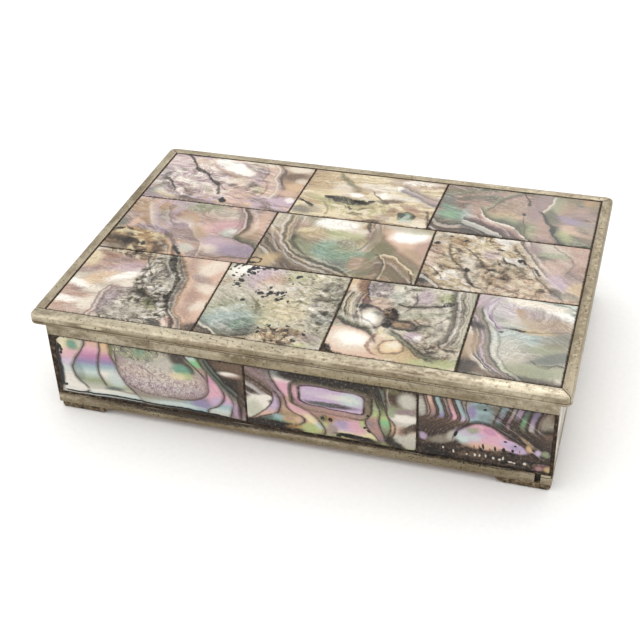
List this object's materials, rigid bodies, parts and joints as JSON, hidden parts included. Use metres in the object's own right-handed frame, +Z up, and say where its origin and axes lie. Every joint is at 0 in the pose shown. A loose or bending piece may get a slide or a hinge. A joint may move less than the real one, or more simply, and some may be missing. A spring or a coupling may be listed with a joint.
{
  "type": "shell mosaic box",
  "caption": "Low rectangular keepsake box with a lift-off lid, faced with abalone shell plates between metal edging strips.",
  "frame": {"origin": "middle of the footprint, at the underside of the four feet", "axes": "+X along the length towards the box's right end, -Y towards the front with the broken bottom strip, +Z up"},
  "size_m": [0.17, 0.119, 0.039],
  "materials": {
    "nickel_silver": "aged satin with tarnish in the hollows",
    "dark_bronze": "darkened and rubbed",
    "abalone_shell": "polished nacre, grey, mauve, green and cream",
    "black_resin": "polished, dull in the joints",
    "cedar": "plain oiled"
  },
  "bodies": {
    "root": {"bottom_band_back": "nickel_silver", "bottom_band_front": "nickel_silver", "bottom_band_left": "nickel_silver", "bottom_band_right": "nickel_silver", "bottom_band_sliver": "nickel_silver", "bottom_band_stub": "nickel_silver", "case_carcass": "cedar", "foot_back_left": "dark_bronze", "foot_back_right": "dark_bronze", "foot_front_left": "dark_bronze", "foot_front_right": "dark_bronze", "lid_board": "cedar", "lid_resin": "black_resin", "lid_rim_back": "nickel_silver", "lid_rim_front": "nickel_silver", "lid_rim_left": "nickel_silver", "lid_rim_right": "nickel_silver", "lid_shell_back_1": "abalone_shell", "lid_shell_back_2": "abalone_shell", "lid_shell_back_3": "abalone_shell", "lid_shell_front_1": "abalone_shell", "lid_shell_front_2": "abalone_shell", "lid_shell_front_3": "abalone_shell", "lid_shell_front_4": "abalone_shell", "lid_shell_middle_1": "abalone_shell", "lid_shell_middle_2": "abalone_shell", "lid_shell_middle_3": "abalone_shell", "resin_back": "black_resin", "resin_front": "black_resin", "resin_left": "black_resin", "resin_right": "black_resin", "shell_back_1": "abalone_shell", "shell_back_2": "abalone_shell", "shell_back_3": "abalone_shell", "shell_front_1": "abalone_shell", "shell_front_2": "abalone_shell", "shell_front_3": "abalone_shell", "shell_left_1": "abalone_shell", "shell_left_2": "abalone_shell", "shell_right_1": "abalone_shell", "shell_right_2": "abalone_shell", "top_band_back": "nickel_silver", "top_band_front": "nickel_silver", "top_band_left": "nickel_silver", "top_band_right": "nickel_silver"}
  },
  "joints": []
}
